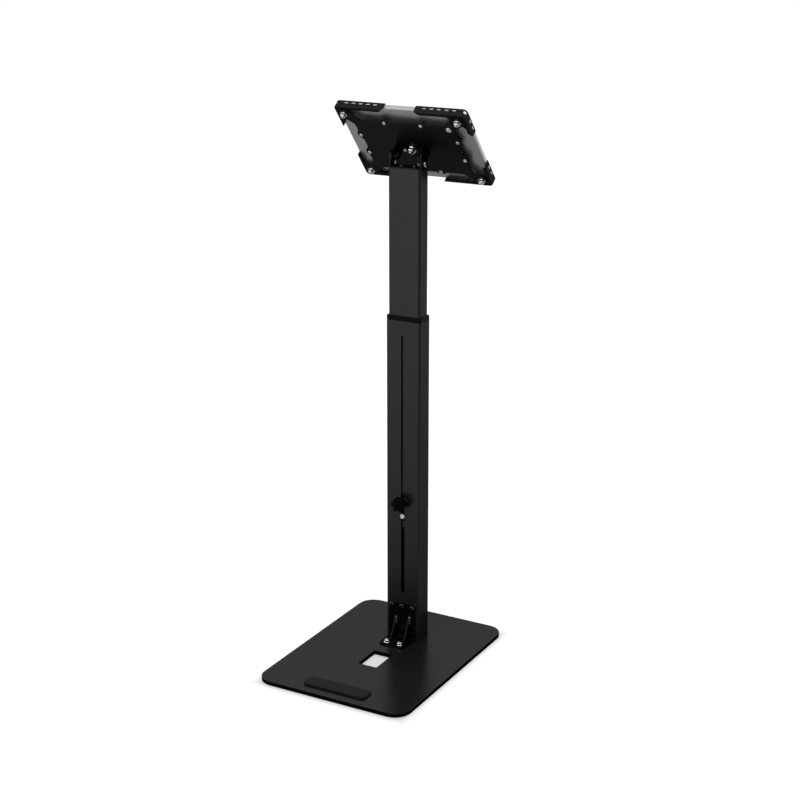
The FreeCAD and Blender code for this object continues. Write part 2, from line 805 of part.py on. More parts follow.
def plate_corners():
    """Outline of the back plate as (x, z, radius), one quarter repeated by mirroring."""
    along = arm_screw - arm_across * (arm_width / 2)
    above = arm_screw + arm_across * (arm_width / 2)
    tip_low = along + arm_out * (arm_width / 2)
    tip_high = above + arm_out * (arm_width / 2)
    root_low = along - arm_out * ((along.x - plate_half_width) / arm_out.x)
    root_high = above - arm_out * ((above.z - plate_half_height) / arm_out.z)
    tip = arm_width / 2 - 0.01
    sx, sz = short_side_screw_x, short_side_screw_z
    lx = long_side_screw_x
    waist = plate_half_width - waist_depth
    quarter = [
        (waist, sz - 1.5 * lobe_half_width, lobe_round),
        (plate_half_width + lobe_rise, sz - 0.6 * lobe_half_width, lobe_round),
        (plate_half_width + lobe_rise, sz + 0.6 * lobe_half_width, lobe_round),
        (plate_half_width, sz + 1.2 * lobe_half_width, lobe_round),
        (root_low.x, root_low.z, arm_root_round),
        (tip_low.x, tip_low.z, tip),
        (tip_high.x, tip_high.z, tip),
        (root_high.x, root_high.z, arm_root_round),
        (lx + 1.2 * lobe_half_width, plate_half_height, lobe_round),
        (lx + 0.6 * lobe_half_width, plate_half_height + lobe_rise, lobe_round),
        (lx - 0.6 * lobe_half_width, plate_half_height + lobe_rise, lobe_round),
        (lx - 1.2 * lobe_half_width, plate_half_height, lobe_round),
    ]
    upper_left = [(-x, z, r) for x, z, r in reversed(quarter)]
    lower_left = [(-x, -z, r) for x, z, r in quarter]
    lower_right = [(x, -z, r) for x, z, r in reversed(quarter)]
    return [(x, z + holder_z, r) for x, z, r in quarter + upper_left + lower_left + lower_right]


def rim_screw_places():
    places = []
    for side in (-1, 1):
        for level in (-1, 1):
            places.append((side * long_side_screw_x, level * long_side_screw_z))
            places.append((side * short_side_screw_x, level * short_side_screw_z))
    return places


def arm_screw_places():
    return [(side * arm_screw_x, level * arm_screw_z) for side in (-1, 1) for level in (-1, 1)]


def safety_screw_place():
    place = arm_screw - arm_out * safety_screw_inward
    return -place.x, place.z


def on_plate(x, z, depth):
    """Point at a depth in front of the back plate's front face, in upright layout."""
    return Vector(x, plate_y - depth, holder_z + z)


def through_plate(x, z, radius):
    return cylinder(radius, on_plate(x, z, 0), on_plate(x, z, -plate_sheet))


def stop_slot():
    """Quarter-circle slot that lets the plate turn from landscape to portrait."""
    half = stop_pin_radius + hole_clearance
    first = math.radians(-stop_pin_angle - 90)
    last = math.radians(-stop_pin_angle)
    centre = on_plate(0, 0, 0)

    def at(radius, angle):
        return centre + Vector(radius * math.cos(angle), 0, radius * math.sin(angle))

    middle = (first + last) / 2
    outer = stop_pin_circle + half
    inner = stop_pin_circle - half
    edges = [
        Part.Arc(at(outer, first), at(outer, middle), at(outer, last)).toShape(),
        Part.makeLine(at(outer, last), at(inner, last)),
        Part.Arc(at(inner, last), at(inner, middle), at(inner, first)).toShape(),
        Part.makeLine(at(inner, first), at(outer, first)),
    ]
    slot = Part.Face(Part.Wire(edges)).extrude(Y * plate_sheet)
    for angle in (first, last):
        end = at(stop_pin_circle, angle)
        slot = slot.fuse(cylinder(half, end, end + Y * plate_sheet))
    return slot


def make_back_plate():
    plate = slab(plate_corners(), "xz", plate_y, plate_y + plate_sheet)
    plate = plate.cut(through_plate(0, 0, m8_cap["shank"] / 2 + running_clearance))
    plate = plate.cut(stop_slot())
    for x, z in rim_screw_places():
        plate = plate.cut(through_plate(x, z, m4["shank"] / 2 + hole_clearance))
    for x, z in arm_screw_places() + [safety_screw_place()]:
        plate = plate.cut(through_plate(x, z, m6["shank"] / 2 + hole_clearance))
    return plate


def make_bumpers():
    """Rubber studs on the front of the plate that the tablet's back rests on."""
    bumpers = []
    for x, z in rim_screw_places():
        stud = cylinder(bumper_diameter / 2, on_plate(x, z, 0), on_plate(x, z, tablet_back))
        hole = cylinder(m4["shank"] / 2, on_plate(x, z, 0), on_plate(x, z, tablet_back * 0.7))
        bumpers.append(stud.cut(hole))
    return group(bumpers)


def make_rim_screws():
    length = plate_sheet + tablet_back * 0.6
    return group(seated(screw(m4, length), on_plate(x, z, -plate_sheet), Y) for x, z in rim_screw_places())


def clamp_reach():
    """From the rear of the plate to the front of a nut that clamps a bracket's tongue."""
    return plate_sheet + slide_gap + holder_sheet + face_gap + m6_nut["height"]


def make_arm_washers():
    washers = []
    for x, z in arm_screw_places():
        start = on_plate(x, z, -plate_sheet)
        washers.append(ring(arm_washer_diameter / 2, m6_cap["shank"] / 2, start, start + Y * arm_washer))
    return group(washers)


def make_arm_screws():
    length = arm_washer + clamp_reach()
    seat_depth = -plate_sheet - arm_washer
    return group(seated(screw(m6_cap, length), on_plate(x, z, seat_depth), Y) for x, z in arm_screw_places())


def make_arm_nuts():
    depth = slide_gap + holder_sheet + face_gap
    return group(seated(nut(m6_nut, m6["shank"]), on_plate(x, z, depth), -Y) for x, z in arm_screw_places())


def make_safety_screw():
    """Screw that locks the one bracket that is opened to change the tablet, with its nut."""
    x, z = safety_screw_place()
    lock_screw = seated(screw(m6, clamp_reach()), on_plate(x, z, -plate_sheet), Y)
    depth = slide_gap + holder_sheet + face_gap
    return group([lock_screw, seated(nut(m6_nut, m6["shank"]), on_plate(x, z, depth), -Y)])


# Corner brackets, drawn for the corner at +X and up

def deep_slab(corners, shallow, deep):
    """Solid between two depths in front of the back plate, outline about the holder's middle."""
    placed = [(x, z + holder_z, r) for x, z, r in corners]
    return slab(placed, "xz", plate_y - deep, plate_y - shallow)


def corner_region(inset, overrun):
    """Quarter of the holder's rectangle, drawn in by inset and let out at its two free ends."""
    left = half_width - long_flange - overrun
    low = half_height - short_flange - overrun
    right = half_width - inset
    high = half_height - inset
    return [(left, low, 0), (right, low, 0), (right, high, holder_corner - inset), (left, high, 0)]


def outer_rims(shape, depths):
    """Edges of a corner block at the given depths that lie on its two outer sides."""
    left = half_width - long_flange
    low = holder_z + half_height - short_flange
    rims = []
    for depth in depths:
        for edge in level_edges(shape, 1, plate_y - depth):
            middle = edge.BoundBox.Center
            if middle.x > left + 1.5 and middle.z > low + 1.5:
                rims.append(edge)
    return rims


def web_corners(tongue):
    """Outline of a bracket's rear web: two narrow legs and a tongue that runs under the arm."""
    left = half_width - long_flange
    low = half_height - short_flange
    leg_z = half_height - web_width
    leg_x = half_width - web_width
    above = arm_screw + arm_across * (tongue_width / 2)
    below = arm_screw - arm_across * (tongue_width / 2)
    root_high = above + arm_out * ((leg_z - above.z) / arm_out.z)
    root_low = below + arm_out * ((leg_x - below.x) / arm_out.x)
    end_high = above - arm_out * tongue
    end_low = below - arm_out * tongue
    tip = tongue_width / 2 - 0.01
    return [
        (left, half_height, 0),
        (left + web_width, leg_z, 0),
        (root_high.x, root_high.z, web_round),
        (end_high.x, end_high.z, tip),
        (end_low.x, end_low.z, tip),
        (root_low.x, root_low.z, web_round),
        (leg_x, low + web_width, 0),
        (half_width, low, 0),
        (half_width, half_height, holder_corner),
    ]


def tongue_slot(inward):
    """Slot along the slide line, from a screw's rest place inward by the travel."""
    half = m6["shank"] / 2 + hole_clearance
    start = arm_screw - arm_out * inward
    end = start - arm_out * tongue_slide
    corners = []
    for place, way in ((start, 1), (end, -1)):
        for side in (-way, way):
            point = place + arm_out * (way * half) + arm_across * (side * half)
            corners.append((point.x, point.z, half - 0.001))
    return deep_slab(corners, slide_gap, slide_gap + holder_sheet)


def long_slot_centres():
    return [half_width - long_slot_first - i * flange_slot_pitch for i in range(long_slots)]


def short_slot_centres():
    return [half_height - short_slot_first - i * flange_slot_pitch for i in range(short_slots)]


def flange_slots():
    """Round-ended slots through both flanges."""
    slots = []
    radius = flange_slot_width / 2 - 0.001
    y = plate_y - flange_slot_depth
    for x in long_slot_centres():
        corners = rectangle(flange_slot_length, flange_slot_width, radius, x, y)
        high = holder_z + half_height
        slots.append(slab(corners, "xy", high - holder_sheet, high))
    for z in short_slot_centres():
        corners = rectangle(flange_slot_width, flange_slot_length, radius, y, holder_z + z)
        slots.append(slab(corners, "yz", half_width - holder_sheet, half_width))
    return slots


def make_corner_bracket(side, level, has_safety_slot):
    shallow = slide_gap
    web_front = shallow + holder_sheet
    block = deep_slab(corner_region(0, 0), shallow, holder_depth)
    block = block.makeFillet(holder_bend, outer_rims(block, (shallow, holder_depth)))
    cavity = deep_slab(corner_region(holder_sheet, 1), web_front, lip_inner)
    cavity = cavity.makeFillet(holder_bend_inside, outer_rims(cavity, (web_front, lip_inner)))
    tongue = tongue_slide
    if has_safety_slot:
        tongue = safety_screw_inward + tongue_slide
    tongue += tongue_end_margin
    web_void = deep_slab(corner_region(-1, 1), 0, web_front).cut(deep_slab(web_corners(tongue), 0, web_front))
    lip_void = [(x, z, 0) for x, z, _ in corner_region(0, 1)]
    left, low = lip_void[0][:2]
    lip_x = half_width - short_lip
    lip_z = half_height - long_lip
    lip_void = [(left, low, 0), (lip_x, low, 0), (lip_x, lip_z, lip_corner_round), (left, lip_z, 0)]
    bracket = block.cut(cavity).cut(web_void).cut(deep_slab(lip_void, lip_inner, holder_depth + 1))
    for slot in flange_slots():
        bracket = bracket.cut(slot)
    bracket = bracket.cut(tongue_slot(0))
    if has_safety_slot:
        bracket = bracket.cut(tongue_slot(safety_screw_inward))
    return tilted(mirrored(bracket.cut(corner_hole()), side, level, holder_z))


def corner_hole():
    """Round hole through the bend where the two flanges meet."""
    outer = on_plate(half_width, half_height, corner_hole_depth)
    inward = Vector(-1, 0, -1).normalize() * (holder_corner + holder_sheet)
    return cylinder(corner_hole_radius, outer, outer + inward)


def make_bracket_pad(side, level):
    """Foam strip between the long flange and the tablet's edge, behind the flange's slots."""
    left = half_width - long_flange + web_width
    right = half_width - holder_corner - corner_hole_radius
    high = half_height - holder_sheet
    low = high - pad_thickness
    strip = [(left, low, 0), (right, low, 0), (right, high, 0), (left, high, 0)]
    rear = flange_slot_depth - flange_slot_width / 2 - pad_margin
    return tilted(mirrored(deep_slab(strip, rear, lip_inner - holder_bend_inside), side, level, holder_z))


# Tablet

def tablet_outline(inset):
    return rectangle(tablet_width - 2 * inset, tablet_height - 2 * inset, tablet_corner - inset)


def make_tablet_shell():
    shell = deep_slab(tablet_outline(0), tablet_back, tablet_front)
    shell = shell.makeFillet(tablet_back_round, level_edges(shell, 1, plate_y - tablet_back))
    shell = shell.makeFillet(tablet_front_round, level_edges(shell, 1, plate_y - tablet_front))
    return shell.cut(deep_slab(tablet_outline(glass_inset), tablet_front - glass_thickness, tablet_front))


def make_tablet_glass():
    return deep_slab(tablet_outline(glass_inset + 0.05), tablet_front - glass_thickness, tablet_front)


fixed_parts = {
    "base_plate": make_base_plate(),
    "base_feet": make_base_feet(),
    "base_tread": make_base_tread(),
    "foot_bracket": make_foot_bracket(),
    "foot_flange_screws": make_flange_screws(),
    "foot_flange_washers": make_flange_washers(),
    "foot_column_screws": make_column_screws(),
    "foot_nut_bar": make_nut_bar(),
    "foot_plug": make_foot_plug(),
    "base_bolts": make_base_bolts(),
    "lower_tube": make_lower_tube(),
    "tube_collar": make_collar(),
    "upper_tube": make_upper_tube(),
    "tube_glide": make_glide(),
    "tube_top_plug": make_top_plug(),
    "clamp_nut_plate": make_clamp_plate(),
    "slot_shoe": make_slot_shoe(),
    "height_knob": make_height_knob(),
    "knob_stud": make_knob_stud(),
    "knob_washer": make_knob_washer(),
    "guide_screw": make_guide_screw(),
    "tilt_yoke": make_yoke(),
    "yoke_screws": make_yoke_screws(),
    "pivot_bolts": make_pivot_bolts(),
    "pivot_nuts": make_pivot_nuts(),
    "ear_washers": make_ear_washers(),
    "tilt_lock_screw": make_tilt_lock(),
}
head_parts = {
    "tilt_bracket": make_tilt_bracket(),
    "turn_bolt": make_turn_bolt(),
    "turn_washer": make_turn_washer(),
    "turn_disc": make_turn_disc(),
    "turn_nut": make_turn_nut(),
    "turn_stop_pin": make_stop_pin(),
    "back_plate": make_back_plate(),
    "rim_screws": make_rim_screws(),
    "rim_bumpers": make_bumpers(),
    "arm_screws": make_arm_screws(),
    "arm_washers": make_arm_washers(),
    "arm_nuts": make_arm_nuts(),
    "safety_screw": make_safety_screw(),
    "tablet_shell": make_tablet_shell(),
    "tablet_glass": make_tablet_glass(),
}
parts = dict(fixed_parts)
for name, shape in head_parts.items():
    parts[name] = tilted(shape)
for level_name, level in (("upper", 1), ("lower", -1)):
    for side_name, side in (("left", -1), ("right", 1)):
        is_opening_corner = level > 0 and side < 0
        corner = level_name + "_" + side_name
        parts["bracket_" + corner] = make_corner_bracket(side, level, is_opening_corner)
        parts["bracket_pad_" + corner] = make_bracket_pad(side, level)

os.makedirs("parts", exist_ok=True)
for name, shape in parts.items():
    if not shape.isValid():
        print("not valid:", name)
    shape.exportStep("parts/" + name + ".step")
print(len(parts), "nodes,", sum(len(shape.Solids) for shape in parts.values()), "solids")
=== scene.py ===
import json
import math
import bpy
from mathutils import Matrix, Vector

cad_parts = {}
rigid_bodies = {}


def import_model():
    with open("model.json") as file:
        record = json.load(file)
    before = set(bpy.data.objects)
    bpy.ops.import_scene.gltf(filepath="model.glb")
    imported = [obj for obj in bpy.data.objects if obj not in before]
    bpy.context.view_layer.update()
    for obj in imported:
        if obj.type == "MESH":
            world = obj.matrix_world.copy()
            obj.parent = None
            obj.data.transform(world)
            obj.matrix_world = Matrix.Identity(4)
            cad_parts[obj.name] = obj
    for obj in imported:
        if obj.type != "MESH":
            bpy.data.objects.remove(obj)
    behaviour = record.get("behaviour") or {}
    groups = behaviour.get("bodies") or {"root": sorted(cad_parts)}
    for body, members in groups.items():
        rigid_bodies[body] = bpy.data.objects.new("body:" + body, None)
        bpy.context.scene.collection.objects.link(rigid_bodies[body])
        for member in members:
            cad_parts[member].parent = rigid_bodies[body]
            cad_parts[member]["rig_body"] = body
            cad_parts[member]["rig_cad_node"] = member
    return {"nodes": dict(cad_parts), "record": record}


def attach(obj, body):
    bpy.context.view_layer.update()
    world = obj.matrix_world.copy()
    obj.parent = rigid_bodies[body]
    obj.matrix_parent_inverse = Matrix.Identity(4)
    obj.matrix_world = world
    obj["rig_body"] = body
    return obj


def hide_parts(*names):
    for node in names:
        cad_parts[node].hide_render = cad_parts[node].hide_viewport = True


# Floor stand for a tablet: finishes, softened sheet edges, weld beads, the head's small parts,
# studio and camera. Metres. The frame stands on z = 0 with its slotted rear side towards +Y.

print("stand: loading the frame")
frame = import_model()
nodes = frame["nodes"]
bodyOf = {name: body for body, names in frame["record"]["behaviour"]["bodies"].items() for name in names}
slotOf = {entry["node"]: entry["material_slot"] for entry in frame["record"]["subparts"]}
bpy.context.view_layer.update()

# The head is laid out upright and leant back about the tilt pivot, as in the CAD.
head = {"pivot": (0, -0.091, 0.8995), "lean": -40.4, "middle": (0, -0.121, 0.9068)}
leaning = (Matrix.Translation(head["pivot"]) @ Matrix.Rotation(math.radians(head["lean"]), 4, "X")
           @ Matrix.Translation(Vector(head["middle"]) - Vector(head["pivot"])))


# Node trees

noiseSpan = (0.3, 0.7)  # a noise texture's values mostly lie between these


def newMaterial(name):
    material = bpy.data.materials.new(name)
    material.use_nodes = True
    tree = material.node_tree
    tree.nodes.clear()
    output = tree.nodes.new("ShaderNodeOutputMaterial")
    return material, tree, output.inputs["Surface"]


def newPrincipled(name):
    material, tree, surface = newMaterial(name)
    shader = tree.nodes.new("ShaderNodeBsdfPrincipled")
    tree.links.new(shader.outputs["BSDF"], surface)
    return material, tree, shader


def objectPoint(tree, scale=(1, 1, 1), turn=(0, 0, 0), shift=(0, 0, 0)):
    coordinate = tree.nodes.new("ShaderNodeTexCoord")
    mapping = tree.nodes.new("ShaderNodeMapping")
    mapping.inputs["Scale"].default_value = scale
    mapping.inputs["Rotation"].default_value = turn
    mapping.inputs["Location"].default_value = shift
    tree.links.new(coordinate.outputs["Object"], mapping.inputs["Vector"])
    return mapping.outputs["Vector"]


def addNoise(tree, point, scale, detail, rough=0.55):
    noise = tree.nodes.new("ShaderNodeTexNoise")
    noise.inputs["Scale"].default_value = scale
    noise.inputs["Detail"].default_value = detail
    noise.inputs["Roughness"].default_value = rough
    tree.links.new(point, noise.inputs["Vector"])
    return noise.outputs["Fac"]


def addRamp(tree, factor, colours, span=noiseSpan):
    ramp = tree.nodes.new("ShaderNodeValToRGB")
    for end in (0, 1):
        ramp.color_ramp.elements[end].position = span[end]
        ramp.color_ramp.elements[end].color = (*colours[end], 1)
    tree.links.new(factor, ramp.inputs["Fac"])
    return ramp.outputs["Color"]


def spreadOver(tree, value, across, result):
    spread = tree.nodes.new("ShaderNodeMapRange")
    spread.inputs["From Min"].default_value, spread.inputs["From Max"].default_value = across
    spread.inputs["To Min"].default_value, spread.inputs["To Max"].default_value = result
    tree.links.new(value, spread.inputs["Value"])
    return spread.outputs["Result"]


def addBump(tree, height, distance, normal=None):
    bump = tree.nodes.new("ShaderNodeBump")
    bump.inputs["Distance"].default_value = distance
    tree.links.new(height, bump.inputs["Height"])
    if normal is not None:
        tree.links.new(normal, bump.inputs["Normal"])
    return bump.outputs["Normal"]


def mathStep(tree, operation, first, second=None):
    step = tree.nodes.new("ShaderNodeMath")
    step.operation = operation
    tree.links.new(first, step.inputs[0])
    if second is not None:
        tree.links.new(second, step.inputs[1])
    return step.outputs[0]


def vectorStep(tree, operation, point, other=None):
    step = tree.nodes.new("ShaderNodeVectorMath")
    step.operation = operation
    tree.links.new(point, step.inputs[0])
    if other is not None:
        step.inputs[1].default_value = other
    return step


def splitAxes(tree, point):
    axes = tree.nodes.new("ShaderNodeSeparateXYZ")
    tree.links.new(point, axes.inputs[0])
    return axes.outputs


def tint(colour, amount):
    return tuple(channel * amount for channel in colour)


# Powder coat: each shade holds its share of the colour and its span of roughness

paint = {"colour": (0.049, 0.049, 0.0494), "blotch": (0.97, 1.03), "gloss": 0.85, "edge": 0.45,
         "patch": (7, 2.0), "sheen": (63, 4.0), "peel": (330, 2.0), "peelDepth": 0.00005,
         "grain": (1700, 3.0), "grainDepth": 0.00004}
# The head, claw, yoke and foot shares are darker copies of the one coat, painted shade; the weld's share is a
# far lighter copy, a painted highlight.
coatAndPaintedLight = {"black": (1.0, (0.28, 0.32)), "base": (1.0, (0.21, 0.25)), "head": (0.70, (0.28, 0.32)),
               "claw": (0.56, (0.26, 0.30)), "yoke": (0.52, (0.16, 0.22)), "foot": (0.30, (0.16, 0.22)),
               "weld": (5.0, (0.14, 0.20))}
baseEdgeShade = {"top": 0.0099, "fade": 0.0004, "shade": 0.12}


# Painted shade: the colour fades to a much darker one below the top of the base, on its cut edge.
def paintEdgeShade(tree, point, colour):  # the base's cut edge, under its pressed rim, catches no light
    fade = (baseEdgeShade["top"] - baseEdgeShade["fade"], baseEdgeShade["top"])
    mix = tree.nodes.new("ShaderNodeMixRGB")
    tree.links.new(spreadOver(tree, splitAxes(tree, point)["Z"], fade, (0.0, 1.0)), mix.inputs["Fac"])
    mix.inputs["Color1"].default_value = (*tint(paint["colour"], baseEdgeShade["shade"]), 1)
    tree.links.new(colour, mix.inputs["Color2"])
    return mix.outputs["Color"]


def makePaint(shade):
    amount, rough = coatAndPaintedLight[shade]
    material, tree, shader = newPrincipled(shade + "PowderCoat")
    point = objectPoint(tree)
    plain = tint(paint["colour"], amount)
    patch = addNoise(tree, point, *paint["patch"])
    colour = addRamp(tree, patch, [tint(plain, part) for part in paint["blotch"]])
    # painted shade on the base's cut edge
    if shade == "base":
        colour = paintEdgeShade(tree, point, colour)
    tree.links.new(colour, shader.inputs["Base Color"])
    sheen = addNoise(tree, point, *paint["sheen"])
    tree.links.new(spreadOver(tree, sheen, noiseSpan, rough), shader.inputs["Roughness"])
    shader.inputs["Metallic"].default_value = paint["gloss"]
    shader.inputs["Specular IOR Level"].default_value = 0.0
    shader.inputs["Specular Tint"].default_value = (*[paint["edge"]] * 3, 1)
    peel = addBump(tree, addNoise(tree, point, *paint["peel"]), paint["peelDepth"])
    grain = addBump(tree, addNoise(tree, point, *paint["grain"]), paint["grainDepth"], peel)
    tree.links.new(grain, shader.inputs["Normal"])
    return material


# Other finishes: patch and grain hold a noise's scale and detail, blotch the patches' two shades

plated = {"metal": 1.0, "patch": (260, 3.0), "blotch": (0.90, 1.0), "depth": 0.000006}
brightZinc = {**plated, "colour": (0.88, 0.88, 0.87), "rough": (0.04, 0.09), "grain": (900, 4.0)}
shadedZinc = {**plated, "colour": (0.24, 0.24, 0.24), "rough": (0.16, 0.26), "grain": (900, 4.0)}
blackOxide = {**plated, "colour": (0.11, 0.11, 0.112), "rough": (0.10, 0.16), "grain": (1200, 4.0)}
lensGlass = {**plated, "colour": (0.05, 0.06, 0.09), "rough": (0.03, 0.06), "grain": (900, 4.0),
             "depth": 0.000002}
plainSteel = {"metal": 1.0, "colour": (0.46, 0.46, 0.47), "blotch": (0.85, 1.0), "rough": (0.32, 0.45),
              "stretch": (1, 1, 14), "patch": (700, 3.0), "grain": (700, 3.0), "depth": 0.00002}
tabletMetal = {"metal": 0.84, "colour": (0.64, 0.64, 0.65), "blotch": (0.94, 1.0), "rough": (0.32, 0.40),
               "patch": (14, 3.0), "grain": (3200, 2.0), "depth": 0.00001}
dusty = {"patch": (45, 4.0), "span": (0.35, 0.75)}
rubber = {**dusty, "colour": (0.020, 0.020, 0.020), "blotch": (0.9, 1.25), "rough": (0.78, 0.92),
          "specular": 0.03, "grain": (1100, 3.0), "depth": 0.00012}
# Pale foam; its paleness is partly a painted highlight, making the bracket slots show bright.
padFoamAndHighlight = {**dusty, "colour": (0.80, 0.80, 0.79), "blotch": (0.9, 1.0), "rough": (0.75, 0.90),
           "specular": 0.10, "grain": (1500, 3.0), "depth": 0.00010}
plastic = {"patch": (90, 3.0), "blotch": (0.88, 1.1), "specular": 0.04, "depth": 0.00003}
slidePlastic = {**plastic, "colour": (0.006, 0.006, 0.0063), "rough": (0.42, 0.55), "grain": (2600, 2.0)}
knobPlastic = {**plastic, "colour": (0.002, 0.002, 0.0021), "rough": (0.40, 0.50), "grain": (1900, 2.0)}


def makeFinish(name, look):
    material, tree, shader = newPrincipled(name)
    point = objectPoint(tree, look.get("stretch", (1, 1, 1)))
    patch = addNoise(tree, point, *look["patch"])
    colours = [tint(look["colour"], part) for part in look["blotch"]]
    tree.links.new(addRamp(tree, patch, colours, look.get("span", noiseSpan)), shader.inputs["Base Color"])
    tree.links.new(spreadOver(tree, patch, noiseSpan, look["rough"]), shader.inputs["Roughness"])
    shader.inputs["Metallic"].default_value = look.get("metal", 0.0)
    shader.inputs["Specular IOR Level"].default_value = look.get("specular", 0.5)
    grain = addNoise(tree, point, *look["grain"])
    tree.links.new(addBump(tree, grain, look["depth"]), shader.inputs["Normal"])
    return material


screenGlass = {"border": (0.003, 0.003, 0.003), "panel": (0.014, 0.015, 0.018), "rough": (0.04, 0.07),
               "smear": (22, 5.0, 0.6), "half": (0.1036, 0.0777), "fade": 0.0003}


def withinSpan(tree, value, half):
    size = mathStep(tree, "ABSOLUTE", value)
    return spreadOver(tree, size, (half, half + screenGlass["fade"]), (1, 0))


def makeScreenGlass():
    material, tree, shader = newPrincipled("darkScreenGlass")
    upright = leaning.inverted()
    point = objectPoint(tree, turn=upright.to_euler(), shift=upright.translation)
    smear = addNoise(tree, point, *screenGlass["smear"])
    tree.links.new(spreadOver(tree, smear, noiseSpan, screenGlass["rough"]), shader.inputs["Roughness"])
    axes = splitAxes(tree, point)
    inPanel = [withinSpan(tree, axes[axis], half) for axis, half in zip("XZ", screenGlass["half"])]
    panel = mathStep(tree, "MULTIPLY", *inPanel)
    colour = addRamp(tree, panel, (screenGlass["border"], screenGlass["panel"]), (0.0, 1.0))
    tree.links.new(colour, shader.inputs["Base Color"])
    return material


print("stand: finishes")
finishes = {
    "painted_steel": makePaint("black"),
    "bright_fasteners": makeFinish("brightZinc", brightZinc),
    "black_fasteners": makeFinish("blackOxide", blackOxide),
    "plain_steel": makeFinish("plainSteel", plainSteel),
    "rubber": makeFinish("mattRubber", rubber),
    "pad_foam": makeFinish("paleFoamAndHighlight", padFoamAndHighlight),
    "guide_plastic": makeFinish("slidePlastic", slidePlastic),
    "knob_plastic": makeFinish("knobPlastic", knobPlastic),
    "tablet_metal": makeFinish("blastedTabletShell", tabletMetal),
    "tablet_screen": makeScreenGlass(),
}
# Darker copies of the coat are painted shade on the yoke and tilt bracket, the claws, the back plate and the
# foot bracket; the pivot nuts' darker zinc is painted shade too.
yokeShadedPaint = makePaint("yoke")
clawShadedPaint = makePaint("claw")
ownFinish = {
    "base_plate": makePaint("base"),
    "foot_bracket": makePaint("foot"),
    "tilt_yoke": yokeShadedPaint,
    "tilt_bracket": yokeShadedPaint,
    "back_plate": makePaint("head"),
    "bracket_upper_left": clawShadedPaint,
    "bracket_upper_right": clawShadedPaint,
    "bracket_lower_left": clawShadedPaint,
    "bracket_lower_right": clawShadedPaint,
    # the weld beads: a far lighter copy of the coat, a painted highlight
    "weld": makePaint("weld"),
    "pivot_nuts": makeFinish("shadedZinc", shadedZinc),
    "front_lens": makeFinish("lensGlass", lensGlass),
}


def giveFinish(piece, slotName, source):
    piece.data.materials.clear()
    piece.data.materials.append(ownFinish.get(source, finishes[slotName]))


for name, node in nodes.items():
    giveFinish(node, slotOf[name], name)


# Pieces

def selectOnly(piece):
    bpy.ops.object.select_all(action="DESELECT")
    piece.select_set(True)
    bpy.context.view_layer.objects.active = piece


def smoothBelow(angle):
    bpy.ops.object.shade_smooth_by_angle(angle=math.radians(angle))


def copyPiece(source, name):
    piece = source.copy()
    piece.data = source.data.copy()
    piece.name = name
    bpy.context.scene.collection.objects.link(piece)
    return piece


# Bent sheet and tube: a narrow soft edge where two faces meet more sharply than the angle

sheetEdges = {"merge": 0.000002, "flat": 0.4, "angle": 38, "segments": 2, "smooth": 32, "faceWeight": 100,
              "width": {
                  "back_plate": 0.00030, "tilt_bracket": 0.00030, "tilt_yoke": 0.00030,
                  "foot_bracket": 0.00035, "bracket_upper_left": 0.00028, "bracket_upper_right": 0.00028,
                  "bracket_lower_left": 0.00028, "bracket_lower_right": 0.00028,
                  "lower_tube": 0.00030, "upper_tube": 0.00030}}


def softenSheetEdges(name, width):
    piece = copyPiece(nodes[name], name + "_painted")
    piece.parent = None
    for key in ("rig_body", "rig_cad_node"):  # the copy is a piece of its own
        if key in piece:
            del piece[key]
    selectOnly(piece)
    bpy.ops.object.mode_set(mode="EDIT")
    bpy.ops.mesh.select_all(action="SELECT")
    bpy.ops.mesh.remove_doubles(threshold=sheetEdges["merge"])
    bpy.ops.mesh.dissolve_limited(angle_limit=math.radians(sheetEdges["flat"]))
    bpy.ops.object.mode_set(mode="OBJECT")
    bevel = piece.modifiers.new("pressedEdge", "BEVEL")
    bevel.width = width
    bevel.segments = sheetEdges["segments"]
    bevel.limit_method = "ANGLE"
    bevel.angle_limit = math.radians(sheetEdges["angle"])
    bpy.ops.object.modifier_apply(modifier=bevel.name)
    smoothBelow(sheetEdges["smooth"])
    flats = piece.modifiers.new("flatFaces", "WEIGHTED_NORMAL")
    flats.weight = sheetEdges["faceWeight"]
    flats.keep_sharp = True
    bpy.ops.object.modifier_apply(modifier=flats.name)
    giveFinish(piece, slotOf[name], name)
    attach(piece, bodyOf[name])
    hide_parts(name)


print("stand: sheet edges")
for name, width in sheetEdges["width"].items():
    softenSheetEdges(name, width)


# Weld beads up the foot's ribs: each ripple swells over rise of its pitch and draws in over fall

weldBead = {"radius": 0.0023, "start": 0.55, "sides": 14, "ripples": 7, "pitch": 0.0020, "swell": 1.16,
            "rise": 0.35, "fall": 0.65, "capRise": 0.5, "capSize": 0.5, "smooth": 50, "sheetY": -0.069,
            "foot": {"weld_left_rib": (-0.0161, 0.0425), "weld_right_rib": (0.0119, 0.0388)}}


